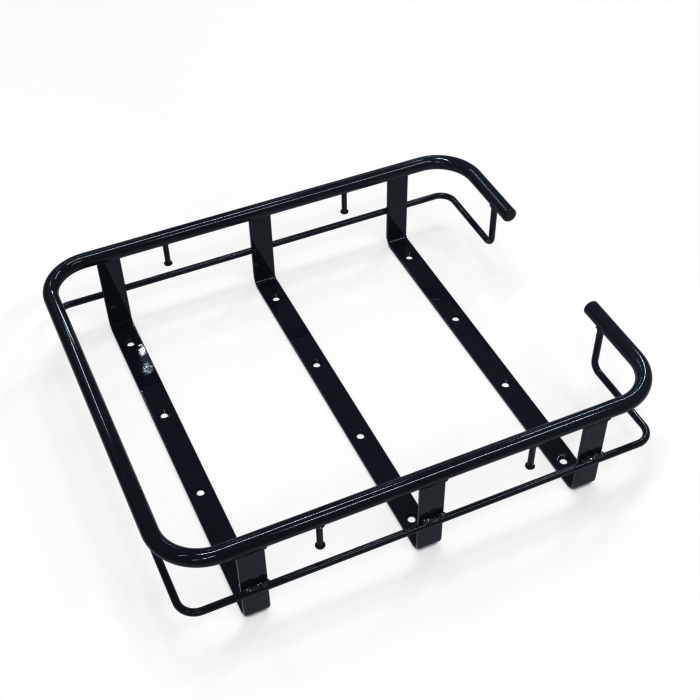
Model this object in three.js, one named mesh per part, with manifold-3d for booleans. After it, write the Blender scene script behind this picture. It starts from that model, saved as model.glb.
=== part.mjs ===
// A welded cargo rack: a bent tube rail on three U-bent flat-bar brackets, with a round-bar
// lower rail outside the legs, four rope pegs and the weld beads that join them.
//
// Millimetres, +Z up. The origin is on the floor under the middle of the rack. +X runs from the
// closed end to the open end, +Y across the rack.

import * as THREE from 'three';
import { mergeVertices } from 'three/addons/utils/BufferGeometryUtils.js';
import Module from 'manifold-3d';

const wasm = await Module();
wasm.setup();

// ---- Driving sizes ----------------------------------------------------------------------------

// Top rail: round tube
const rackLength = 600; // over the tube, closed end to open end
const rackWidth = 511; // over the tube, side to side
const rackHeight = 134.5; // floor to the top of the tube
const tubeDiameter = 19.1;
const tubeWall = 1.6;
const railBend = 55; // corner radius at the tube's axis
const mouth = 190; // gap between the two stub ends

// End caps: closing discs, welded round a groove and dressed flush
const capThickness = 5;
const capCrown = 0.8; // height of the shallow dome
const capEdge = 2; // rounding of the outer edge
const capGroove = 2; // leg of the weld groove

// Brackets: flat bar
const barWidth = 30;
const barThickness = 4.5;
const barBend = 5.5; // inside bend radius
const barEdge = 0.4; // broken edge along the bar
const legOffset = 2.3; // leg's mid-plane, outboard of the rail's axis
const closedLegRun = 14.5; // straight rail between the closed end's corner and the leg
const openLegRun = 18; // straight rail between the open end's corner and the leg
const boltHole = 8.5;
const boltSink = 14.5; // countersink diameter at the top face, 90 degrees included
const boltInset = 44.5; // outer bolt hole, from the leg's outer face
const boltSpacing = 134; // between the two inner bolt holes

// Lower rail: round bar
const rodDiameter = 8.4;
const rodDrop = 70.5; // top rail's axis down to the lower rail's axis
const rodBend = 21; // corner radius at the bar's axis
const rodInset = 4.5; // end runs, inboard of the top rail's axis
const riserInset = 33; // riser's axis, from the stub's end
const riserBend = 12;

// Rope pegs, under the rail in the plane of the legs
const pegDiameter = 7;
const pegHead = 11;
const pegRim = 1; // straight rim of the head
const pegDome = 2.2; // dome below the rim
const pegGap = 19.5; // from the top of the lower rail up to a peg's tip
const closedPegRun = 76; // closed end's bracket to its peg
const openPegRun = 80; // open end's bracket to its peg

// Welds
const seat = 0.3; // clearance between a piece and what it is welded to
const legBead = 3; // fillet round a leg's top
const collarBead = 2.6; // fillet round a riser's or a peg's top
const rodBead = 3.3; // radius of the bead on the lower rail
const rodBeadRise = 0.4; // that bead's axis, above the top of the lower rail
const beadRipple = 0.45; // depth of the ripple along it
const beadStep = 3.4; // one ripple
const beadInset = 1; // end of the bead, from the bar's edge

// Facets
const tubeSides = 24;
const boreSides = 16;
const rodSides = 12;
const turnSides = 20;
const beadSides = 12;
const railBendSteps = 10;
const rodBendSteps = 8;
const riserBendSteps = 5;
const barBendSteps = 6;
const collarSteps = 6;
const mergeGap = 1e-4; // vertices closer than this are one

// ---- Places that follow from the sizes --------------------------------------------------------

const tubeRadius = tubeDiameter / 2;
const rodRadius = rodDiameter / 2;
const railX = rackLength / 2 - tubeRadius;
const railY = rackWidth / 2 - tubeRadius;
const railZ = rackHeight - tubeRadius;
const railUnder = railZ - tubeRadius;
const stubY = mouth / 2 + capThickness + seat; // where the tube itself ends
const legY = railY + legOffset;
const legFace = legY + barThickness / 2;
const rodX = railX - rodInset;
const rodY = legFace + seat + rodRadius;
const rodZ = railZ - rodDrop;
const riserY = mouth / 2 + riserInset;
const bracketX = {
  closed_end: -railX + railBend + closedLegRun + barWidth / 2,
  middle: 0,
  open_end: railX - railBend - openLegRun - barWidth / 2,
};
const pegX = {
  closed_end: bracketX.closed_end + closedPegRun,
  open_end: bracketX.open_end - openPegRun,
};
const sides = { near: -1, far: 1 };

// ---- Materials --------------------------------------------------------------------------------

const paint = { color: 0x0c0e12, roughness: 0.22, metalness: 0 };
const weldPaint = { color: 0x0e1013, roughness: 0.34, metalness: 0 };

// ---- Solids -----------------------------------------------------------------------------------

const X = new THREE.Vector3(1, 0, 0);
const Y = new THREE.Vector3(0, 1, 0);
const Z = new THREE.Vector3(0, 0, 1);
const at = (x, y, z) => new THREE.Vector3(x, y, z);
const quarter = Math.PI / 2;

/** A closed geometry as a manifold solid, moved by `matrix`. */
function solid(geometry, matrix = new THREE.Matrix4()) {
  const bare = geometry.clone().applyMatrix4(matrix);
  bare.deleteAttribute('normal');
  bare.deleteAttribute('uv');
  const { attributes, index } = mergeVertices(bare, mergeGap);
  return new wasm.Manifold(new wasm.Mesh({
    numProp: 3,
    vertProperties: attributes.position.array,
    triVerts: new Uint32Array(index.array),
  }));
}

/** A manifold solid as a geometry with flat-shaded facets. */
function surface(body) {
  const { vertProperties, triVerts } = body.getMesh();
  const geometry = new THREE.BufferGeometry();
  geometry.setAttribute('position', new THREE.BufferAttribute(vertProperties, 3));
  geometry.setIndex(new THREE.BufferAttribute(triVerts, 1));
  geometry.computeVertexNormals();
  return geometry;
}

/** The centre line of a bent bar: straight runs between corners rounded to a bend radius. */
class BentLine extends THREE.Curve {
  constructor(corners) {
    super();
    this.stations = [];
    corners.forEach(({ point, bend, steps }, i) => {
      const into = i > 0 ? point.clone().sub(corners[i - 1].point).normalize() : null;
      const out = i < corners.length - 1 ? corners[i + 1].point.clone().sub(point).normalize() : null;
      if (into && out) this.addBend(point, into, out, bend, steps);
      else this.stations.push({ point, tangent: into ?? out });
    });
  }

  addBend(corner, into, out, bend, steps) {
    const turn = into.angleTo(out);
    const inward = out.clone().addScaledVector(into, -into.dot(out)).normalize();
    const start = corner.clone().addScaledVector(into, -bend * Math.tan(turn / 2));
    for (let i = 0; i <= steps; i += 1) {
      const angle = (turn * i) / steps;
      const point = start.clone()
        .addScaledVector(into, bend * Math.sin(angle))
        .addScaledVector(inward, bend * (1 - Math.cos(angle)));
      const tangent = into.clone().multiplyScalar(Math.cos(angle)).addScaledVector(inward, Math.sin(angle));
      this.stations.push({ point, tangent });
    }
  }

  get steps() {
    return this.stations.length - 1;
  }

  getUtoTmapping(u) {
    return u; // one step for each station, so a straight run takes a single step
  }

  getPoint(t) {
    return this.stations[Math.round(t * this.steps)].point.clone();
  }

  getTangent(t) {
    return this.stations[Math.round(t * this.steps)].tangent.clone();
  }
}

function disc(radius, count) {
  const corners = Array.from({ length: count }, (_, i) => {
    const angle = (2 * Math.PI * i) / count;
    return new THREE.Vector2(radius * Math.cos(angle), radius * Math.sin(angle));
  });
  return new THREE.Shape(corners);
}

function sweep(section, line) {
  return new THREE.ExtrudeGeometry(section, { steps: line.steps, extrudePath: line });
}

/** A profile of [radius, height] pairs turned round `axis`, with its zero height at `origin`. */
function turned(profile, axis, origin, count = turnSides) {
  const geometry = new THREE.LatheGeometry(profile.map(([r, h]) => new THREE.Vector2(r, h)), count);
  const turn = new THREE.Quaternion().setFromUnitVectors(Y, axis);
  return solid(geometry, new THREE.Matrix4().compose(origin, turn, at(1, 1, 1)));
}

// ---- Top rail and its end caps ----------------------------------------------------------------

const railCorner = (x, y) => ({ point: at(x, y, railZ), bend: railBend, steps: railBendSteps });
const railLine = new BentLine([
  { point: at(railX, stubY, railZ) },
  railCorner(railX, railY),
  railCorner(-railX, railY),
  railCorner(-railX, -railY),
  railCorner(railX, -railY),
  { point: at(railX, -stubY, railZ) },
]);

function topRail() {
  const section = disc(tubeRadius, tubeSides);
  section.holes.push(disc(tubeRadius - tubeWall, boreSides));
  return solid(sweep(section, railLine));
}

/** The rail's outline with the weld clearance round it, to cut what stands under it. */
const railCutter = solid(sweep(disc(tubeRadius + seat, tubeSides), railLine));

function endCap(side) {
  const shoulder = tubeRadius - capEdge;
  const profile = [[0, 0]];
  for (const share of [0.5, 1]) profile.push([shoulder * share, capCrown * share ** 2]);
  for (const angle of [1, 2, 3].map((i) => (quarter * i) / 3)) {
    profile.push([shoulder + capEdge * Math.sin(angle), capCrown + capEdge * (1 - Math.cos(angle))]);
  }
  profile.push([tubeRadius, capThickness - capGroove]);
  profile.push([tubeRadius - capGroove, capThickness]);
  profile.push([0, capThickness]);
  return turned(profile, Y.clone().multiplyScalar(side), at(railX, (side * mouth) / 2, railZ));
}

function capWeld(side) {
  const leg = capGroove - seat * Math.SQRT2;
  const profile = [
    [tubeRadius - leg, capThickness],
    [tubeRadius, capThickness - leg],
    [tubeRadius, capThickness],
    [tubeRadius - leg, capThickness],
  ];
  return turned(profile, Y.clone().multiplyScalar(side), at(railX, (side * mouth) / 2, railZ));
}

// ---- Brackets ---------------------------------------------------------------------------------

function boltHoles(x) {
  const sinkDepth = (boltSink - boltHole) / 2;
  const profile = [
    [0, -1],
    [boltHole / 2, -1],
    [boltHole / 2, barThickness - sinkDepth],
    [boltSink / 2, barThickness],
    [boltSink / 2, barThickness + 1],
    [0, barThickness + 1],
  ];
  const outer = legFace - boltInset;
  const inner = boltSpacing / 2;
  return [-outer, -inner, inner, outer].map((y) => turned(profile, Z, at(x, y, 0)));
}

/** The bent bar's side outline, in the Y-Z plane, with legs that run up to the rail's axis. */
function bracketOutline() {
  const outside = barBend + barThickness;
  const inside = legFace - barThickness;
  const outline = new THREE.Shape();
  outline.moveTo(-legFace, railZ);
  outline.lineTo(-legFace, outside);
  outline.absarc(-legFace + outside, outside, outside, 2 * quarter, 3 * quarter, false);
  outline.lineTo(legFace - outside, 0);
  outline.absarc(legFace - outside, outside, outside, 3 * quarter, 4 * quarter, false);
  outline.lineTo(legFace, railZ);
  outline.lineTo(inside, railZ);
  outline.lineTo(inside, outside);
  outline.absarc(inside - barBend, outside, barBend, 0, -quarter, true);
  outline.lineTo(-inside + barBend, barThickness);
  outline.absarc(-inside + barBend, outside, barBend, -quarter, -2 * quarter, true);
  outline.lineTo(-inside, railZ);
  return outline;
}

function bracket(x) {
  const geometry = new THREE.ExtrudeGeometry(bracketOutline(), {
    depth: barWidth - 2 * barEdge,
    curveSegments: barBendSteps / 2,
    bevelThickness: barEdge,
    bevelSize: barEdge,
    bevelOffset: -barEdge,
    bevelSegments: 1,
  });
  geometry.translate(0, 0, barEdge - barWidth / 2);
  const across = new THREE.Matrix4().makeBasis(Y, Z, X).setPosition(x, 0, 0);
  const cutters = [railCutter, ...boltHoles(x)];
  return cutters.reduce((body, cutter) => body.subtract(cutter), solid(geometry, across));
}

/** A fillet bead round a leg's top, between the leg and the rail's underside. */
function legWeld(x, side) {
  const halfLength = barWidth / 2 + legBead;
  const halfDepth = barThickness / 2 + legBead;
  const outline = new THREE.Shape([
    new THREE.Vector2(-halfLength, -halfDepth),
    new THREE.Vector2(halfLength, -halfDepth),
    new THREE.Vector2(halfLength, halfDepth),
    new THREE.Vector2(-halfLength, halfDepth),
  ]);
  const slope = legBead - seat;
  const geometry = new THREE.ExtrudeGeometry(outline, {
    depth: legBead / 2,
    bevelThickness: legBead,
    bevelSize: slope,
    bevelOffset: -slope,
    bevelSegments: 2,
  });
  const place = new THREE.Matrix4().setPosition(x, side * legY, railUnder);
  const leg = new THREE.BoxGeometry(barWidth + 2 * seat, barThickness + 2 * seat, 2 * railZ);
  const legPlace = new THREE.Matrix4().setPosition(x, side * legY, 0);
  return solid(geometry, place).subtract(railCutter).subtract(solid(leg, legPlace));
}

// ---- Lower rail -------------------------------------------------------------------------------

const rodCorner = (x, y) => ({ point: at(x, y, rodZ), bend: rodBend, steps: rodBendSteps });
const riserCorner = (y) => ({ point: at(rodX, y, rodZ), bend: riserBend, steps: riserBendSteps });
const rodLine = new BentLine([
  { point: at(rodX, riserY, railZ) },
  riserCorner(riserY),
  rodCorner(rodX, rodY),
  rodCorner(-rodX, rodY),
  rodCorner(-rodX, -rodY),
  rodCorner(rodX, -rodY),
  riserCorner(-riserY),
  { point: at(rodX, -riserY, railZ) },
]);

function lowerRail() {
  return solid(sweep(disc(rodRadius, rodSides), rodLine)).subtract(railCutter);
}

/** A rippled bead along the crevice between the lower rail and a leg's outer face. */
function rodWeld(x, side) {
  const reach = barWidth / 2 - beadInset;
  const ripples = Math.round((2 * reach) / beadStep);
  const profile = [];
  for (let i = 0; i <= 2 * ripples; i += 1) {
    const share = i / ripples - 1;
    const swell = Math.sqrt(1 - share ** 4);
    profile.push([swell * (rodBead - (i % 2 ? 0 : beadRipple)), share * reach]);
  }
  const place = at(x, side * (legFace + rodBead / 2), rodZ + rodRadius + rodBeadRise);
  const bead = turned(profile, X, place, beadSides);
  const bore = rodRadius + seat;
  const rodProfile = [[0, -barWidth], [bore, -barWidth], [bore, barWidth], [0, barWidth]];
  const rod = turned(rodProfile, X, at(x, side * rodY, rodZ), beadSides);
  const leg = new THREE.BoxGeometry(2 * barWidth, barThickness + 2 * seat, 2 * railZ);
  const legPlace = new THREE.Matrix4().setPosition(x, side * legY, 0);
  return bead.subtract(rod).subtract(solid(leg, legPlace));
}

/** A bead ring round the top of a round shaft that stands under the rail. */
function collarWeld(x, y, shaftRadius) {
  const profile = Array.from({ length: collarSteps + 1 }, (_, i) => {
    const angle = (2 * quarter * i) / collarSteps;
    return [shaftRadius + seat + collarBead * Math.sin(angle), -collarBead * Math.cos(angle)];
  });
  profile.push(profile[0]);
  return turned(profile, Z, at(x, y, railUnder), beadSides).subtract(railCutter);
}

// ---- Rope pegs --------------------------------------------------------------------------------

function ropePeg(x, side) {
  const shank = pegDiameter / 2;
  const head = pegHead / 2;
  const edge = pegRim / 3;
  const tip = rodZ + rodRadius + pegGap;
  const profile = [[0, 0]];
  for (const angle of [1, 2, 3, 4].map((i) => (quarter * i) / 4)) {
    profile.push([head * Math.sin(angle), pegDome * (1 - Math.cos(angle))]);
  }
  profile.push([head, pegDome + pegRim - edge]);
  profile.push([head - edge, pegDome + pegRim]);
  profile.push([shank, pegDome + pegRim]);
  profile.push([shank, railZ - tip]);
  profile.push([0, railZ - tip]);
  return turned(profile, Z, at(x, side * legY, tip)).subtract(railCutter);
}

// ---- The rack ---------------------------------------------------------------------------------

const rack = new THREE.Group();

function add(name, body, finish) {
  const piece = new THREE.Mesh(surface(body), new THREE.MeshStandardMaterial(finish));
  piece.name = name;
  rack.add(piece);
}

add('top_rail', topRail(), paint);
add('lower_rail', lowerRail(), paint);
for (const [place, x] of Object.entries(bracketX)) add(`bracket_${place}`, bracket(x), paint);

for (const [side, sign] of Object.entries(sides)) {
  add(`end_cap_${side}`, endCap(sign), paint);
  add(`cap_weld_${side}`, capWeld(sign), weldPaint);
  add(`riser_weld_${side}`, collarWeld(rodX, sign * riserY, rodRadius), weldPaint);
  for (const [place, x] of Object.entries(bracketX)) {
    add(`leg_weld_${place}_${side}`, legWeld(x, sign), weldPaint);
    add(`rod_weld_${place}_${side}`, rodWeld(x, sign), weldPaint);
  }
  for (const [place, x] of Object.entries(pegX)) {
    add(`rope_peg_${place}_${side}`, ropePeg(x, sign), paint);
    add(`peg_weld_${place}_${side}`, collarWeld(x, sign * legY, pegDiameter / 2), weldPaint);
  }
}

export default rack;
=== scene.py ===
"""Visual model of a welded cargo rack in gloss black paint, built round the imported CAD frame."""
import math

import bmesh
import bpy
import numpy as np
from mathutils import Matrix, Vector


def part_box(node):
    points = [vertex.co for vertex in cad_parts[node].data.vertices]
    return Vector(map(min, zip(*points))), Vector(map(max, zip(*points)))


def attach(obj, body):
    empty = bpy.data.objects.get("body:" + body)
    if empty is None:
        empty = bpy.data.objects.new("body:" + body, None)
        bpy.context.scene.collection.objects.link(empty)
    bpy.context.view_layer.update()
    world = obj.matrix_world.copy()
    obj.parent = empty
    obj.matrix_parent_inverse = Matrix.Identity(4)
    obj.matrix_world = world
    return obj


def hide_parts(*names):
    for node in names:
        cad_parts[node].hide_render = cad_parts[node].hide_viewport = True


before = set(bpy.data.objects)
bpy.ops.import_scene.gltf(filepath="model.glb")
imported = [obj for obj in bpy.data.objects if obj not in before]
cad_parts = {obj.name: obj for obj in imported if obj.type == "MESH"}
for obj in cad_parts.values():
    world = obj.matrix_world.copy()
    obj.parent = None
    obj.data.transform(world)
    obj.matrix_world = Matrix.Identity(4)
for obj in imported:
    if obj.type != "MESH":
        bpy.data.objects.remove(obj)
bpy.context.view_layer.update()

# ---- Sizes, in metres -------------------------------------------------------------------------

# bends, at the middle of the tube or bar
RAIL_BEND = 0.055
ROD_BEND = 0.021
RISER_BEND = 0.012
BAR_BEND = 0.00775
# round bar of the lower rail
ROD_RADIUS = 0.0042
# end caps
CAP_EDGE = 0.0021  # rounding round the cap
CAP_CROWN = 0.0007  # height of its shallow dome
# flat bar of the brackets
BAR_THICKNESS = 0.0045
BAR_CORNER = 0.0009  # rounding along the bar's edges
BEND_DRAW = 0.0014  # how far the bar's edges are drawn in at the outside of its bends
# bolt holes
BOLT_RADIUS = 0.0046
BOLT_NECK = 0.0012  # height of the bore under the countersink
SINK_RADIUS = 0.00725
SINK_RIM = 0.00013  # rounding of the countersink's edges
BORE_RIM = 0.0002  # rounding of the bore's lower edge
BOLT_INSET = 0.0445  # outer bolt hole, from the leg's outer face
BOLT_SPACING = 0.134
# rope pegs
PEG_SHANK = 0.0035
PEG_HEAD = 0.0032  # height of a peg's head
PEG_DOME = 0.0022  # height of the dome below it
PEG_EDGE = 0.0006  # roundings of the head's rim and of the shank's root
# weld beads: radius, one ripple, and the ripple's share of the radius
ROD_BEAD = (0.0035, 0.0046, 0.20)
LEG_BEAD = (0.0021, 0.0036, 0.16)
COLLAR_BEAD = (0.0018, 0.0030, 0.14)
BEAD_DROP = 0.0004  # middle of a bead under the rail, below the rail's surface
ROD_BEAD_UP = 0.0006  # middle of a bead on the lower rail, above the rail
ROD_BEAD_OUT = 0.0032  # and out from the leg's face
ROD_BEAD_SHIFT = 0.0012  # and along the rack from the leg's middle; its half length grows as much
ROD_BEAD_SWAY = 0.0004  # and to and fro along its run
LEG_BEAD_OUT = 0.0008  # middle of a bead round a leg, out from the leg
COLLAR_BEAD_OUT = 0.0006  # and round a shaft, out from the shaft
# tops of pieces that stand under the rail, and how far they reach into it
PEG_ROOT = 0.0004
ROD_ROOT = 0.0006

# ---- Places, from the CAD frame ---------------------------------------------------------------

rail_low, rail_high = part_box("top_rail")
rod_low, rod_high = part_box("lower_rail")
TUBE_RADIUS = (rail_high.z - rail_low.z) / 2
RAIL_X = rail_high.x - TUBE_RADIUS
RAIL_Y = rail_high.y - TUBE_RADIUS
RAIL_Z = rail_high.z - TUBE_RADIUS
ROD_X = rod_high.x - ROD_RADIUS
ROD_Y = rod_high.y - ROD_RADIUS
ROD_Z = rod_low.z + ROD_RADIUS
LEG_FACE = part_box("bracket_middle")[1].y
SIDES = {"near": -1, "far": 1}
BRACKETS = ("closed_end", "middle", "open_end")
PEGS = ("closed_end", "open_end")


def centre(node):
    """The middle of a CAD node's box."""
    low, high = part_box(node)
    return (low + high) / 2


# ---- Meshes -----------------------------------------------------------------------------------


def grid_faces(rows, columns, wrap_rows=False):
    """The four-cornered faces of a rows x columns grid of points whose last column meets its first,
    as an array of point numbers."""
    down = np.arange(rows if wrap_rows else rows - 1)
    i, j = np.meshgrid(down, np.arange(columns), indexing="ij")
    i_next, j_next = (i + 1) % rows, (j + 1) % columns
    here, below = i * columns, i_next * columns
    return np.stack([here + j, below + j, below + j_next, here + j_next], -1).reshape(-1, 4)


SHARP = math.radians(50)
TUBE_SIDES, ROUND_SIDES, BEAD_SIDES = 80, 40, 24
PAINT_SLOT, WELD_SLOT = "gloss_black_paint", "painted_weld"


def piece(name, parts, material, slot, *nodes):
    """A closed piece from (points, faces) parts: coinciding points made one, faces turned outwards
    and shaded smooth, with the edges over SHARP left crisp."""
    points = np.concatenate([p.reshape(-1, 3) for p, _ in parts])
    starts = np.cumsum([0] + [p.reshape(-1, 3).shape[0] for p, _ in parts[:-1]])
    faces = np.concatenate([f + start for (_, f), start in zip(parts, starts)])
    mesh = bpy.data.meshes.new(name)
    mesh.from_pydata(points, [], faces)
    made = bmesh.new()
    made.from_mesh(mesh)
    bmesh.ops.remove_doubles(made, verts=made.verts, dist=1e-6)
    bmesh.ops.dissolve_degenerate(made, edges=made.edges, dist=1e-7)
    bmesh.ops.recalc_face_normals(made, faces=made.faces)
    made.to_mesh(mesh)
    made.free()
    mesh.polygons.foreach_set("use_smooth", np.ones(len(mesh.polygons), bool))
    mesh.set_sharp_from_angle(angle=SHARP)
    mesh.materials.append(material)
    obj = bpy.data.objects.new(name, mesh)
    bpy.context.scene.collection.objects.link(obj)
    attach(obj, "root")
    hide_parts(*nodes)


def bent_line(corners, bends, step=0.01, turn_step=math.radians(3)):
    """Points and tangents along straight runs between corners, each corner an arc of its bend
    radius."""
    corners = [np.array(c, float) for c in corners]
    points, tangents = [], []
    start = corners[0]
    for k in range(1, len(corners)):
        into = corners[k] - corners[k - 1]
        into /= np.linalg.norm(into)
        last = k == len(corners) - 1
        bend = 0 if last else bends[k - 1]
        out = into if last else corners[k + 1] - corners[k]
        out = out / np.linalg.norm(out)
        turn = math.acos(np.clip(into @ out, -1, 1))
        end = corners[k] - into * bend * math.tan(turn / 2)
        count = max(1, round(np.linalg.norm(end - start) / step))
        share = np.linspace(0, 1, count + 1)[:, None]
        points.append((start + (end - start) * share)[: None if last else -1])
        tangents.append(np.tile(into, (len(points[-1]), 1)))
        if last:
            break
        angle = np.linspace(0, turn, max(2, math.ceil(turn / turn_step)) + 1)[:, None]
        inward = out - into * (into @ out)
        inward /= np.linalg.norm(inward)
        arc = end + bend * (np.sin(angle) * into + (1 - np.cos(angle)) * inward)
        points.append(arc[:-1])
        tangents.append((np.cos(angle) * into + np.sin(angle) * inward)[:-1])
        start = arc[-1]
    return np.concatenate(points), np.concatenate(tangents)


def cross_axes(tangents, first):
    """Two axes square to each tangent, carried along the line without twist from the first one."""
    axis = np.array(first, float)
    kept = np.empty_like(tangents)
    for i, tangent in enumerate(tangents):
        axis = axis - tangent * (axis @ tangent)
        axis /= np.linalg.norm(axis)
        kept[i] = axis
    return kept, np.cross(tangents, kept)


def round_bar(points, tangents, radius, sides, first=(0, 0, 1)):
    """Rings of a round bar: point + radius x (cos a x one cross axis + sin a x the other)."""
    one, other = cross_axes(tangents, first)
    angle = np.linspace(0, 2 * np.pi, sides, endpoint=False)[None, :, None]
    circle = np.cos(angle) * one[:, None] + np.sin(angle) * other[:, None]
    return points[:, None] + radius * circle


def closed_bar(rings):
    """A bar's rings with a pole at the middle of each end ring, and its faces."""
    poles = np.repeat(rings[[0, -1]].mean(1, keepdims=True), rings.shape[1], 1)
    rings = np.concatenate([poles[:1], rings, poles[1:]])
    return rings, grid_faces(*rings.shape[:2])


def turned(profile, origin, axis, sides):
    """A profile of (radius, height) pairs turned round an axis: origin + height x axis + radius x a
    unit circle."""
    profile = np.array(profile, float)
    axis = np.array(axis, float)
    one = np.cross(axis, (1, 0, 0) if abs(axis[0]) < 0.5 else (0, 1, 0))
    one /= np.linalg.norm(one)
    other = np.cross(axis, one)
    angle = np.linspace(0, 2 * np.pi, sides, endpoint=False)[None, :, None]
    circle = np.cos(angle) * one + np.sin(angle) * other
    radius, height = profile[:, 0, None, None], profile[:, 1, None, None]
    rings = np.array(origin, float) + height * axis + radius * circle
    return rings, grid_faces(*rings.shape[:2])


def corner_arc(centre_r, centre_h, radius, start, end, count=5):
    """(radius, height) pairs along an arc from one angle to another, in degrees."""
    angle = np.radians(np.linspace(start, end, count))
    return list(zip(centre_r + radius * np.cos(angle), centre_h + radius * np.sin(angle)))


# ---- Paint ------------------------------------------------------------------------------------


class Nodes:
    """Adds and links a material's shader nodes."""

    def __init__(self, material):
        self.tree = material.node_tree
        self.tree.nodes.clear()

    def add(self, kind, **settings):
        """A new node. A setting is the value of the input of that name, or else an attribute."""
        node = self.tree.nodes.new(kind)
        for key, value in settings.items():
            if key in node.inputs.keys():
                node.inputs[key].default_value = value
            else:
                setattr(node, key, value)
        return node

    def link(self, source, out, target, into):
        self.tree.links.new(source.outputs[out], target.inputs[into])

    def scale(self, source, out, from_low, from_high, to_low, to_high):
        """A map from one range to another, fed by a node's output."""
        names = "From Min", "From Max", "To Min", "To Max"
        ends = dict(zip(names, (from_low, from_high, to_low, to_high)))
        node = self.add("ShaderNodeMapRange", **ends)
        self.link(source, out, node, "Value")
        return node


COOL = (0.88, 0.95, 1, 1)  # tint of what the paint mirrors
DAYLIT_TONE = (0.105, 0.130, 0.165, 1)  # painted daylight: the lighter bluish grey the paint's colour turns towards at the open end
DAYLIGHT_FROM, DAYLIGHT_TO = -0.05, 0.3  # where the painted daylight begins and is full, along the rack
# dust specks, and painted glints on the welds: cells per metre, inner and outer radius in cells,
# share of cells without one, brightness
DUST = (160.0, 0.035, 0.06, 0.8, 0.15)
PAINTED_GLINTS = (330.0, 0.24, 0.36, 0.6, 1.0)


def gloss_paint(
    name, dark, light, gloss, dull, peel, wave, scale=330.0, ior=1.65, daylight=0.0, specks=DUST
):
    """Baked gloss paint: fine orange peel over a slow waviness, a faint drift in depth of colour,
    painted daylight that turns the colour lighter and bluer towards the open end, duller patches
    and scattered specks, which are dust on most paints and painted glints on the welds."""
    material = bpy.data.materials.new(name)
    material.use_nodes = True
    n = Nodes(material)
    place = n.add("ShaderNodeTexCoord")
    shader = n.add("ShaderNodeBsdfPrincipled", IOR=ior)
    shader.inputs["Specular Tint"].default_value = COOL
    out = n.add("ShaderNodeOutputMaterial")
    n.link(shader, "BSDF", out, "Surface")

    drift = n.add("ShaderNodeTexNoise", Scale=28.0, Detail=3.0, Roughness=0.6)
    n.link(place, "Object", drift, "Vector")
    tone = n.add("ShaderNodeValToRGB")
    low, high = tone.color_ramp.elements
    low.position, low.color = 0.35, (*dark, 1)
    high.position, high.color = 0.7, (*light, 1)
    n.link(drift, "Fac", tone, "Fac")

    # painted light: the colour turns a lighter bluish grey along the rack towards the open end,
    # where daylight falls on it
    along = n.add("ShaderNodeSeparateXYZ")
    n.link(place, "Object", along, "Vector")
    daylit_share = n.scale(along, "X", DAYLIGHT_FROM, DAYLIGHT_TO, 0.0, daylight)
    daylit = n.add("ShaderNodeMix", data_type="RGBA")
    daylit.inputs["B"].default_value = DAYLIT_TONE
    n.link(daylit_share, "Result", daylit, "Factor")
    n.link(tone, "Color", daylit, "A")

    # specks: dust on most paints; on the welds, pale painted glints where the beads would catch the
    # lamps
    per_metre, inner, outer, rarity, brightness = specks
    dust_and_glint_cells = n.add("ShaderNodeTexVoronoi", Scale=per_metre)
    n.link(place, "Object", dust_and_glint_cells, "Vector")
    speck = n.scale(dust_and_glint_cells, "Distance", inner, outer, 1.0, 0.0)
    rare = n.add("ShaderNodeSeparateColor")
    n.link(dust_and_glint_cells, "Color", rare, "Color")
    pick = n.add("ShaderNodeMath", operation="GREATER_THAN")
    pick.inputs[1].default_value = rarity
    n.link(rare, "Red", pick, 0)
    some = n.add("ShaderNodeMath", operation="MULTIPLY")
    n.link(speck, "Result", some, 0)
    n.link(pick, "Value", some, 1)
    dust_and_glint_mix = n.add("ShaderNodeMix", data_type="RGBA")
    dust_and_glint_mix.inputs["B"].default_value = (brightness, brightness * 1.03, brightness * 1.08, 1)
    n.link(some, "Value", dust_and_glint_mix, "Factor")
    n.link(daylit, "Result", dust_and_glint_mix, "A")
    n.link(dust_and_glint_mix, "Result", shader, "Base Color")

    haze = n.add("ShaderNodeTexNoise", Scale=70.0, Detail=4.0, Roughness=0.65)
    n.link(place, "Object", haze, "Vector")
    sheen = n.scale(haze, "Fac", 0.3, 0.75, gloss, dull)
    n.link(sheen, "Result", shader, "Roughness")

    ripple = n.add("ShaderNodeTexNoise", Scale=scale, Detail=1.0, Roughness=0.4)
    n.link(place, "Object", ripple, "Vector")
    slow = n.add("ShaderNodeTexNoise", Scale=45.0, Detail=1.0, Roughness=0.4)
    n.link(place, "Object", slow, "Vector")
    fine = n.add("ShaderNodeBump", Distance=peel)
    broad = n.add("ShaderNodeBump", Distance=wave)
    n.link(slow, "Fac", broad, "Height")
    n.link(ripple, "Fac", fine, "Height")
    n.link(broad, "Normal", fine, "Normal")
    n.link(fine, "Normal", shader, "Normal")
    return material


# each paint's share of painted daylight towards the open end is set below; the caps take none
RAIL_PAINT = gloss_paint(
    "rail_paint", (0.046, 0.057, 0.078), (0.058, 0.071, 0.096), 0.04, 0.07,
    peel=0.0000004, wave=0.00003, ior=1.7, daylight=0.42,
)
BAR_PAINT = gloss_paint(
    "bar_paint", (0.043, 0.056, 0.079), (0.058, 0.071, 0.097), 0.01, 0.018,
    peel=0.000003, wave=0.00006, scale=500.0, ior=1.8, daylight=0.1,
)
# the caps' lighter colour is painted sheen, for the bright floor the cap mirrors; their higher
# roughness is the duller dressed weld
CAP_PAINT = gloss_paint(
    "cap_paint", (0.060, 0.070, 0.088), (0.074, 0.085, 0.104), 0.22, 0.34,
    peel=0.00003, wave=0.00006,
)
# its bright flecks are painted glints: pale specks in the paint standing in for lamp glints on the
# beads
WELD_PAINT = gloss_paint(
    "weld_paint", (0.046, 0.056, 0.074), (0.068, 0.080, 0.098), 0.02, 0.05,
    peel=0.0003, wave=0.0001, scale=300.0, ior=2.1, daylight=0.4, specks=PAINTED_GLINTS,
)
SEAM_PAINT = gloss_paint(
    "seam_paint", (0.046, 0.056, 0.074), (0.060, 0.072, 0.092), 0.08, 0.15,
    peel=0.0001, wave=0.0001, daylight=0.4,
)

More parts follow.
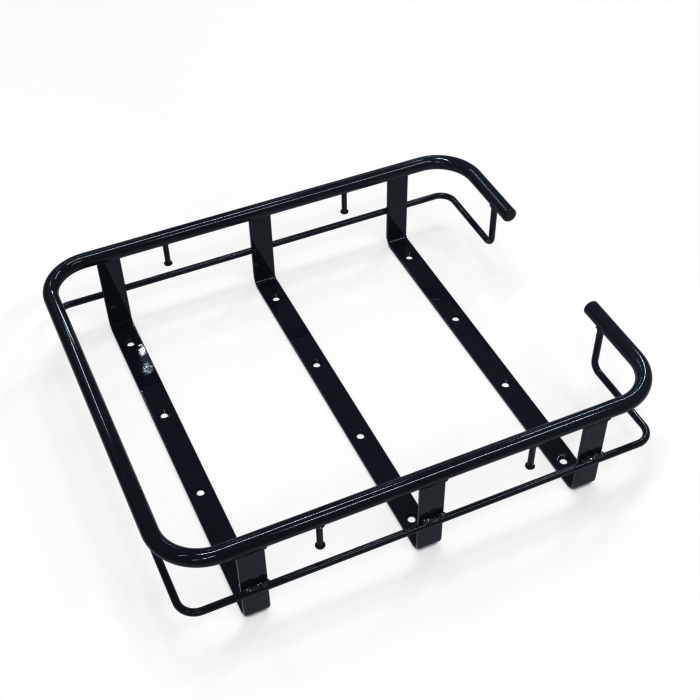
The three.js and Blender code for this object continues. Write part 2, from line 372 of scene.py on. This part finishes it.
# ---- Top rail and its end caps ----------------------------------------------------------------


def top_rail():
    """A circle carried along the rail's axis: four straight runs and a stub's end at each side."""
    stub = rail_end("far")
    corners = [
        (RAIL_X, stub, RAIL_Z),
        (RAIL_X, RAIL_Y, RAIL_Z),
        (-RAIL_X, RAIL_Y, RAIL_Z),
        (-RAIL_X, -RAIL_Y, RAIL_Z),
        (RAIL_X, -RAIL_Y, RAIL_Z),
        (RAIL_X, -stub, RAIL_Z),
    ]
    line = bent_line(corners, [RAIL_BEND] * 4)
    rings = round_bar(*line, TUBE_RADIUS, TUBE_SIDES)
    piece("rail_tube", [closed_bar(rings)], RAIL_PAINT, PAINT_SLOT, "top_rail")


def rail_end(side):
    """How far from the middle the tube itself ends: at the inner side of its cap's weld."""
    low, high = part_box(f"end_cap_{side}")
    return max(abs(low.y), abs(high.y))


def end_cap(side):
    """A shallow dome with a rounded edge, then the dressed weld flush with the tube, turned round
    the stub's axis. On the edge, radius = shoulder + edge x sin a and height = crown + edge x
    (1 - cos a)."""
    low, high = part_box(f"end_cap_{side}")
    face = min(abs(low.y), abs(high.y))
    depth = rail_end(side) - face
    shoulder = TUBE_RADIUS - CAP_EDGE
    root = CAP_CROWN + CAP_EDGE
    profile = [(shoulder * share, CAP_CROWN * share**2) for share in np.linspace(0, 1, 12)]
    profile += [
        (shoulder + CAP_EDGE * math.sin(a), CAP_CROWN + CAP_EDGE * (1 - math.cos(a)))
        for a in np.linspace(0.1, math.pi / 2, 10)
    ]
    profile += [(TUBE_RADIUS, h) for h in np.linspace(root + 0.0003, depth, 5)]
    profile += [(0, depth)]
    sign = SIDES[side]
    body = turned(profile, (RAIL_X, sign * face, RAIL_Z), (0, sign, 0), TUBE_SIDES)
    nodes = f"end_cap_{side}", f"cap_weld_{side}"
    piece(f"stub_cap_{side}", [body], CAP_PAINT, PAINT_SLOT, *nodes)


# ---- Brackets ---------------------------------------------------------------------------------

FLAT = 0.0125  # half the square round a bolt hole
CELLS = 8  # cells along a side of that square
EDGE_LINE = 0.0003  # a line of points along the flat, just inside its rounded edge
SKIRT = 2  # columns between the bar's edge and the squares


def rail_under(y):
    """Height of the rail's underside over a place across the rack."""
    return RAIL_Z - np.sqrt(np.maximum(TUBE_RADIUS**2 - (np.abs(y) - RAIL_Y) ** 2, 0))


def bar_section(half_width):
    """The flat bar's outline as (across, up) pairs: two flats joined by rounded edges."""
    flat = half_width - BAR_CORNER
    half = BAR_THICKNESS / 2
    cells = np.linspace(FLAT, -FLAT, CELLS + 1)
    columns = [flat, flat - EDGE_LINE, *cells, EDGE_LINE - flat, -flat]
    top = [(a, half) for a in columns]
    edge = corner_arc(-flat, half - BAR_CORNER, BAR_CORNER, 90, 180)[1:]
    edge += corner_arc(-flat, -half + BAR_CORNER, BAR_CORNER, 180, 270)[:-1]
    outline = top + edge
    return np.array(outline + [(-a, -t) for a, t in outline])


def bracket_line(holes):
    """Points and tangents across the rack: down a leg, along the base with a line for every cell
    of the squares round the holes, and up the other leg. Also the first line of each square."""
    mid = BAR_THICKNESS / 2
    out = LEG_FACE - mid
    top = RAIL_Z - TUBE_RADIUS
    corners = [(0, -out, top), (0, -out, mid), (0, out, mid), (0, out, top)]
    points, tangents = bent_line(corners, [BAR_BEND] * 2, 0.008, math.radians(7.5))
    base = (np.abs(tangents[:, 1]) > 0.999) & (np.abs(points[:, 1]) < out - BAR_BEND - 1e-6)
    first, last = np.flatnonzero(base)[[0, -1]]
    inner = []
    end = out - BAR_BEND
    edges = [-end] + [y + d for y in holes for d in (-FLAT, FLAT)] + [end]
    for a, b in zip(edges[:-1], edges[1:]):
        in_square = abs((b - a) - 2 * FLAT) < 1e-9
        count = CELLS if in_square else max(1, round((b - a) / 0.01))
        inner += list(np.linspace(a, b, count, endpoint=False))
    inner = np.array(inner[1:])
    base_points = np.stack([np.zeros_like(inner), inner, np.full_like(inner, mid)], -1)
    points = np.concatenate([points[:first], base_points, points[last + 1 :]])
    base_tangents = np.tile((0, 1.0, 0), (len(inner), 1))
    tangents = np.concatenate([tangents[:first], base_tangents, tangents[last + 1 :]])
    starts = [int(np.argmin(np.linalg.norm(points - (0, y - FLAT, mid), axis=1))) for y in holes]
    return points, tangents, starts


def bend_draw(tangents):
    """How far a bar's edges are drawn in along the outside of a bend: most where the bend is
    halfway round, as (2 x across x up) to the power 0.7."""
    return BEND_DRAW * (2 * np.abs(tangents[:, 1] * tangents[:, 2])) ** 0.7


def bolt_hole(x, y):
    """The wall of a countersunk hole: rows of rings from the square in the top face, over the
    rounded rim, down the cone and the bore, and out to the square in the underside."""
    side = np.linspace(-FLAT, FLAT, CELLS, endpoint=False)
    edge = np.full(CELLS, FLAT)
    sides = (side, -edge), (edge, side), (-side, edge), (-edge, -side)
    square = np.concatenate([np.stack(pair, -1) for pair in sides])
    circle = square / np.linalg.norm(square, axis=1, keepdims=True)
    slope = (BAR_THICKNESS - BOLT_NECK) / (SINK_RADIUS - BOLT_RADIUS)
    soft = SINK_RIM * math.tan(math.pi / 8)
    # rings close to every edge keep the shading of the flats even
    cone = np.linspace(SINK_RADIUS - 0.0005, BOLT_RADIUS + 0.0004, 5)
    rows = [(SINK_RADIUS + 0.0011, BAR_THICKNESS), (SINK_RADIUS + 0.0005, BAR_THICKNESS)]
    rows += corner_arc(SINK_RADIUS + soft, BAR_THICKNESS - SINK_RIM, SINK_RIM, 90, 135, 4)
    rows += [(r, BOLT_NECK + slope * (r - BOLT_RADIUS)) for r in cone]
    rows += corner_arc(BOLT_RADIUS + SINK_RIM, BOLT_NECK - soft, SINK_RIM, 135, 180, 4)
    rows += corner_arc(BOLT_RADIUS + BORE_RIM, BORE_RIM, BORE_RIM, 180, 270, 4)
    rows += [(BOLT_RADIUS + 0.0006, 0), (BOLT_RADIUS + 0.0014, 0)]
    count = len(square)
    rings = [np.column_stack([square, np.full(count, BAR_THICKNESS)])]
    rings += [np.column_stack([circle * r, np.full(count, h)]) for r, h in rows]
    rings += [np.column_stack([square, np.zeros(count)])]
    return np.array(rings) + (x, y, 0), grid_faces(len(rings), count)


def bracket(place):
    """The flat bar's outline carried down one leg, along the base and up the other, with four
    holes."""
    node = f"bracket_{place}"
    low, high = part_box(node)
    x, half_width = (low.x + high.x) / 2, (high.x - low.x) / 2
    outer, inner = LEG_FACE - BOLT_INSET, BOLT_SPACING / 2
    holes = [-outer, -inner, inner, outer]
    points, tangents, starts = bracket_line(holes)
    section = bar_section(half_width)
    across = np.array((1.0, 0, 0))
    up = np.cross(across, tangents)
    spread = np.tile(section[:, 0], (len(points), 1))
    outer_edge = (section[:, 1] < 0) * (np.abs(spread) > FLAT + 0.0001)
    spread -= np.sign(spread) * bend_draw(tangents)[:, None] * outer_edge
    rings = (x, 0, 0) + points[:, None] + spread[..., None] * across
    rings = rings + section[None, :, 1:] * up[:, None]
    for end in (0, -1):
        rings[end, :, 2] = rail_under(rings[end, :, 1])
    count = len(section)
    faces = grid_faces(len(points), count).reshape(len(points) - 1, count, 4)
    keep = np.ones(faces.shape[:2], bool)
    for start in starts:
        for column in (SKIRT, count // 2 + SKIRT):
            keep[start : start + CELLS, column : column + CELLS] = False
    parts = [(rings, faces[keep])]
    for end in (0, -1):
        pole = rings[end].mean(0)
        cap = np.stack([rings[end], np.tile(pole, (count, 1))])
        parts.append((cap, grid_faces(2, count)))
    parts += [bolt_hole(x, y) for y in holes]
    piece(f"bent_bar_{place}", parts, BAR_PAINT, PAINT_SLOT, node)


# ---- Lower rail -------------------------------------------------------------------------------


def lower_rail():
    """A circle carried down one riser, round the rack outside the legs, and up the other riser."""
    risers = abs(centre("riser_weld_far").y)
    top = RAIL_Z - TUBE_RADIUS + ROD_ROOT
    corners = [
        (ROD_X, risers, top),
        (ROD_X, risers, ROD_Z),
        (ROD_X, ROD_Y, ROD_Z),
        (-ROD_X, ROD_Y, ROD_Z),
        (-ROD_X, -ROD_Y, ROD_Z),
        (ROD_X, -ROD_Y, ROD_Z),
        (ROD_X, -risers, ROD_Z),
        (ROD_X, -risers, top),
    ]
    bends = [RISER_BEND] + [ROD_BEND] * 4 + [RISER_BEND]
    line = bent_line(corners, bends, turn_step=math.radians(5))
    rings = round_bar(*line, ROD_RADIUS, ROUND_SIDES, first=(1, 0, 0))
    piece("bent_rod", [closed_bar(rings)], RAIL_PAINT, PAINT_SLOT, "lower_rail")


# ---- Rope pegs --------------------------------------------------------------------------------


def rope_peg(place, side):
    """A round peg with a low domed head at its lower end, turned round an upright axis."""
    node = f"rope_peg_{place}_{side}"
    low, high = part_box(node)
    x, y = (low.x + high.x) / 2, (low.y + high.y) / 2
    head = (high.x - low.x) / 2
    tip = low.z
    top = RAIL_Z - TUBE_RADIUS + PEG_ROOT - tip
    turn = np.linspace(0, math.pi / 2 * 0.94, 10)
    dome = [(head * math.sin(a), PEG_DOME * (1 - math.cos(a))) for a in turn]
    rim = corner_arc(head - PEG_EDGE, PEG_HEAD - PEG_EDGE, PEG_EDGE, 0, 90)
    root = corner_arc(PEG_SHANK + PEG_EDGE, PEG_HEAD + PEG_EDGE, PEG_EDGE, 270, 180)
    shank = [(PEG_SHANK, h) for h in np.linspace(PEG_HEAD + 2 * PEG_EDGE, top, 8)]
    body = turned(dome + rim + root + shank + [(0, top)], (x, y, tip), (0, 0, 1), ROUND_SIDES)
    piece(f"peg_{place}_{side}", [body], RAIL_PAINT, PAINT_SLOT, node)


# ---- Weld beads -------------------------------------------------------------------------------


def bead(points, tangents, radius, step, depth, phase, first):
    """A round bead whose radius swells and pinches along its line, with rounded crescents: radius x
    (1 + slow waves + depth x a rectified sine that lags towards the bead's flanks)."""
    one, other = cross_axes(tangents, first)
    run = np.concatenate([[0], np.cumsum(np.linalg.norm(np.diff(points, axis=0), axis=1))])[:, None]
    angle = np.linspace(0, 2 * np.pi, BEAD_SIDES, endpoint=False)[None]
    turn = run / step + phase + 0.3 * (1 - np.cos(angle)) + 0.35 * np.sin(run * 260 + 3 * phase)
    ripple = depth * (np.abs(np.sin(np.pi * turn)) - 0.64)
    slow = 0.07 * np.sin(run * 390 + 5 * phase) + 0.06 * np.cos(3 * angle - run * 300 + 11 * phase)
    slow = slow + 0.06 * np.cos(4 * angle + 2 * np.sin(run * 210 + 7 * phase))
    size = (np.broadcast_to(radius, len(points))[:, None] * (1 + ripple + slow))[..., None]
    circle = np.cos(angle)[..., None] * one[:, None] + np.sin(angle)[..., None] * other[:, None]
    return points[:, None] + size * circle


def ring_bead(points, radius, step, depth, phase):
    """A bead round a closed level line."""
    tangents = np.roll(points, -1, 0) - np.roll(points, 1, 0)
    tangents /= np.linalg.norm(tangents, axis=1, keepdims=True)
    rings = bead(points, tangents, radius, step, depth, phase, (0, 0, 1))
    return rings, grid_faces(*rings.shape[:2], wrap_rows=True)


def rod_weld(place, side, phase):
    """A bead laid along the top of the lower rail against the leg's outer face, a little past the
    leg's edge towards the open end, rounded off at both ends."""
    node = f"rod_weld_{place}_{side}"
    low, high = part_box(node)
    share = np.linspace(-1, 1, 121)
    middle = (low.x + high.x) / 2 + ROD_BEAD_SHIFT
    reach = (high.x - low.x) / 2 + ROD_BEAD_SHIFT
    sign = SIDES[side]
    wander = ROD_BEAD_SWAY * np.sin(share * 9 + 9 * phase)
    line = (
        middle + share * reach,
        sign * (LEG_FACE + ROD_BEAD_OUT + wander),
        ROD_Z + ROD_RADIUS + ROD_BEAD_UP + 0.6 * wander,
    )
    radius, step, depth = ROD_BEAD
    radius = radius * np.sqrt(np.maximum(1 - share**6, 0.002))
    tangents = np.tile((1.0, 0, 0), (len(share), 1))
    rings = bead(np.stack(line, -1), tangents, radius, step, depth, phase, (0, sign, 1))
    piece(f"rod_bead_{place}_{side}", [closed_bar(rings)], WELD_PAINT, WELD_SLOT, node)


def leg_weld(place, side, phase):
    """A bead round a leg's top, in the crevice under the rail. Its line is the leg's outline with
    rounded corners: a circle's x and y to the power 1/4, stretched to the leg."""
    node = f"leg_weld_{place}_{side}"
    low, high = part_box(f"bracket_{place}")
    half_width, half_depth = (high.x - low.x) / 2, BAR_THICKNESS / 2
    mid = LEG_FACE - half_depth
    angle = np.linspace(0, 2 * np.pi, 160, endpoint=False)
    circle = np.stack([np.cos(angle), np.sin(angle)], -1)
    squared = np.sign(circle) * np.abs(circle) ** 0.25
    along = centre(node).x + squared[:, 0] * (half_width + LEG_BEAD_OUT)
    across = SIDES[side] * mid + squared[:, 1] * (half_depth + LEG_BEAD_OUT)
    points = np.column_stack([along, across, rail_under(across) - BEAD_DROP])
    body = ring_bead(points, *LEG_BEAD, phase)
    piece(f"leg_bead_{place}_{side}", [body], SEAM_PAINT, WELD_SLOT, node)


def collar_weld(node, name, middle, shaft, square_to, tube, phase):
    """A bead round the top of a round shaft that stands under the rail, following the underside of
    a tube that lies square to X (0) or to Y (1), with its axis there at `tube`."""
    angle = np.linspace(0, 2 * np.pi, 64, endpoint=False)
    ring = shaft + COLLAR_BEAD_OUT
    along, across = middle[0] + ring * np.cos(angle), middle[1] + ring * np.sin(angle)
    off = (along, across)[square_to] - tube
    under = RAIL_Z - np.sqrt(TUBE_RADIUS**2 - off**2) - BEAD_DROP
    body = ring_bead(np.column_stack([along, across, under]), *COLLAR_BEAD, phase)
    piece(name, [body], WELD_PAINT, WELD_SLOT, node)


# ---- The rack ---------------------------------------------------------------------------------

top_rail()
lower_rail()
for place in BRACKETS:
    bracket(place)
for side, sign in SIDES.items():
    end_cap(side)
    riser = f"riser_weld_{side}"
    middle = ROD_X, centre(riser).y
    collar_weld(riser, f"riser_bead_{side}", middle, ROD_RADIUS, 0, RAIL_X, 0.3 * sign)
    for i, place in enumerate(BRACKETS):
        leg_weld(place, side, 0.37 * i + 0.2 * sign)
        rod_weld(place, side, 0.29 * i + 0.4 * sign)
    for i, place in enumerate(PEGS):
        rope_peg(place, side)
        middle = centre(f"rope_peg_{place}_{side}")
        node, name = f"peg_weld_{place}_{side}", f"peg_bead_{place}_{side}"
        collar_weld(node, name, middle, PEG_SHANK, 1, sign * RAIL_Y, 0.5 * i)

# ---- Floor and light --------------------------------------------------------------------------

FLOOR_GLOW = 0.747
FLOOR_LIFT = 0.018  # painted light: a pool added to the glow towards the closed end, under a lamp beyond it
FLOOR_SHADE = 0.25  # share of the glow left in the deepest shade
SHADE_REACH = 0.006  # how far from a piece on the floor the shade reaches
FLOOR_PAINT = 0.24
FLOOR_DROP = 0.0002  # below the rack's feet


def floor():
    """A wide pale floor with a little painted shade where the rack stands on it, and painted light
    that makes it slightly brighter towards the rack's closed end."""
    left, right, front, back = -0.6, 1.1, -0.55, 1.6
    corners = [(left, front, 0), (right, front, 0), (right, back, 0), (left, back, 0)]
    mesh = bpy.data.meshes.new("floor")
    mesh.from_pydata(corners, [], [(0, 1, 2, 3)])
    material = bpy.data.materials.new("pale_floor")
    material.use_nodes = True
    n = Nodes(material)
    near = n.add("ShaderNodeAmbientOcclusion", samples=8, Distance=SHADE_REACH)
    shade = n.scale(near, "AO", 0.2, 0.56, FLOOR_SHADE * FLOOR_GLOW, FLOOR_GLOW)
    place = n.add("ShaderNodeTexCoord")
    along = n.add("ShaderNodeSeparateXYZ")
    n.link(place, "Object", along, "Vector")
    # painted light: the glow rises towards the closed end
    lift = n.scale(along, "X", 0.0, -0.35, 0.0, FLOOR_LIFT)
    lit = n.add("ShaderNodeMath", operation="ADD")
    n.link(shade, "Result", lit, 0)
    n.link(lift, "Result", lit, 1)
    glow = n.add("ShaderNodeEmission", Color=(1, 1, 1, 1))
    n.link(lit, "Value", glow, "Strength")
    paper = n.add("ShaderNodeBsdfDiffuse", Color=(*[FLOOR_PAINT] * 3, 1))
    both = n.add("ShaderNodeAddShader")
    out = n.add("ShaderNodeOutputMaterial")
    n.link(glow, "Emission", both, 0)
    n.link(paper, "BSDF", both, 1)
    n.link(both, "Shader", out, "Surface")
    mesh.materials.append(material)
    obj = bpy.data.objects.new("floor", mesh)
    bpy.context.scene.collection.objects.link(obj)
    obj.location.z = -FLOOR_DROP


LAMP_HEIGHT = 2.24
LAMP_TURN = math.radians(30.4)
LAMP_STAGGER = 0.1  # rise of a strip for every metre of width over LEVEL_WIDTH
LEVEL_WIDTH = 0.055
# each strip: where its line crosses the plane X = 0, its two ends along X, its width, its power
STRIPS = (
    (2.311, -0.665, 0.135, 0.18, 6.5),
    (2.380, 0.135, 0.178, 0.040, 0.078),
    (2.280, 0.135, 0.160, 0.120, 0.135),
    (2.311, 0.265, 0.370, 0.18, 1.05),
    (2.330, 0.880, 2.120, 0.22, 10.0),
    (3.550, -2.300, -0.600, 1.1, 3.2),
    (0.250, -1.925, -0.890, 0.18, 3.5),
    (0.250, -0.380, 0.655, 0.18, 14.5),
    (0.250, 1.120, 2.155, 0.18, 14.5),
    (-1.90, -2.845, -1.81, 0.3, 18.5),
    (-1.90, -1.300, -0.265, 0.3, 18.5),
    (-1.90, 0.335, 1.370, 0.3, 18.5),
)

# the lamp with a louvre: row and start of its slanted shade, the slant, and the lamp's end
SHADE_ROW, SHADE_START, SHADE_SLANT = 2.242, 0.1785, 0.17
LOUVRED_END = 0.221


def louvred(row, width, brightness):
    """A strip of the lamp with a louvre, from its shade to its end, at a power per area."""
    start = SHADE_START + SHADE_SLANT * (row - SHADE_ROW)
    return row, start, LOUVRED_END, width, brightness * (LOUVRED_END - start) * width


# its bright tube, seen past two louvre blades, and its dim reflector
TUBE = (
    louvred(2.388, 0.011, 54),
    louvred(2.3605, 0.0125, 48),
    louvred(2.350, 0.0055, 22),
    louvred(2.343, 0.006, 50),
)
REFLECTOR = tuple(louvred(SHADE_ROW + 0.0277 * k, 0.024, 4.2) for k in range(4))
# the lit cells of its louvre: three rows of five, the middle row a third of a cell along
LOUVRE = tuple(
    (2.238 + 0.016 * j, left, left + 0.0052, 0.010, 0.0001 + 0.0008 * ((3 * i + 2 * j) % 4))
    for j in range(3)
    for i, left in enumerate(np.arange(5) * 0.0085 + 0.180 + 0.003 * (j % 2))
)


def lamps():
    """Rows of strip lamps under a dark ceiling, all turned the same way; wide strips hang a little
    higher, behind narrow ones."""
    for row, start, end, width, power in STRIPS + TUBE + REFLECTOR + LOUVRE:
        x = (start + end) / 2
        light = bpy.data.lights.new("strip_lamp", "AREA")
        light.shape = "RECTANGLE"
        light.size, light.size_y = (end - start) / math.cos(LAMP_TURN), width
        light.energy = power
        obj = bpy.data.objects.new("strip_lamp", light)
        height = LAMP_HEIGHT + LAMP_STAGGER * (width - LEVEL_WIDTH)
        obj.location = (x, row + math.tan(LAMP_TURN) * x, height)
        obj.rotation_euler = (0, 0, LAMP_TURN)
        bpy.context.scene.collection.objects.link(obj)


# how bright the room is in gloss, on matt paint, and to a camera that looks past the floor
ROOM_GLOSS, ROOM_MATT, ROOM_SEEN = 0.33, 0.35, 1.05


def room():
    """Even white light on everything matt, a dim ceiling in the gloss, white past the floor."""
    world = bpy.data.worlds.new("room")
    world.use_nodes = True
    bpy.context.scene.world = world
    n = Nodes(world)
    ray = n.add("ShaderNodeLightPath")
    matt = n.add("ShaderNodeMix", data_type="FLOAT", A=ROOM_GLOSS, B=ROOM_MATT)
    seen = n.add("ShaderNodeMix", data_type="FLOAT", B=ROOM_SEEN)
    n.link(ray, "Is Diffuse Ray", matt, "Factor")
    n.link(matt, "Result", seen, "A")
    n.link(ray, "Is Camera Ray", seen, "Factor")
    sky = n.add("ShaderNodeBackground", Color=(1, 1, 1, 1))
    n.link(seen, "Result", sky, "Strength")
    out = n.add("ShaderNodeOutputWorld")
    n.link(sky, "Background", out, "Surface")


floor()
lamps()
room()
bpy.context.scene.view_settings.view_transform = "Raw"

# ---- Camera -----------------------------------------------------------------------------------

TARGET = (0.03438, 0.01587, 0)
DISTANCE = 1.50598
AZIMUTH = math.radians(245.636)  # of the camera, from +X towards +Y
ELEVATION = math.radians(46.425)
ROLL = math.radians(-0.578)
SENSOR, LENS = 36, 60.95314  # in millimetres
SHIFT_X, SHIFT_Y = -0.0108657, 0.0478429  # in widths of the frame


def camera():
    """A camera at DISTANCE from TARGET that looks straight at it, turned by ROLL about its axis."""
    back = Vector(
        (
            math.cos(ELEVATION) * math.cos(AZIMUTH),
            math.cos(ELEVATION) * math.sin(AZIMUTH),
            math.sin(ELEVATION),
        )
    )
    right = (-back).cross(Vector((0, 0, 1))).normalized()
    up = right.cross(-back)
    level = Matrix((right, up, back)).transposed().to_4x4()
    data = bpy.data.cameras.new("camera")
    data.sensor_width, data.lens = SENSOR, LENS
    data.shift_x, data.shift_y = SHIFT_X, SHIFT_Y
    obj = bpy.data.objects.new("camera", data)
    place = Matrix.Translation(Vector(TARGET) + back * DISTANCE)
    obj.matrix_world = place @ level @ Matrix.Rotation(ROLL, 4, "Z")
    bpy.context.scene.collection.objects.link(obj)
    bpy.context.scene.camera = obj


camera()
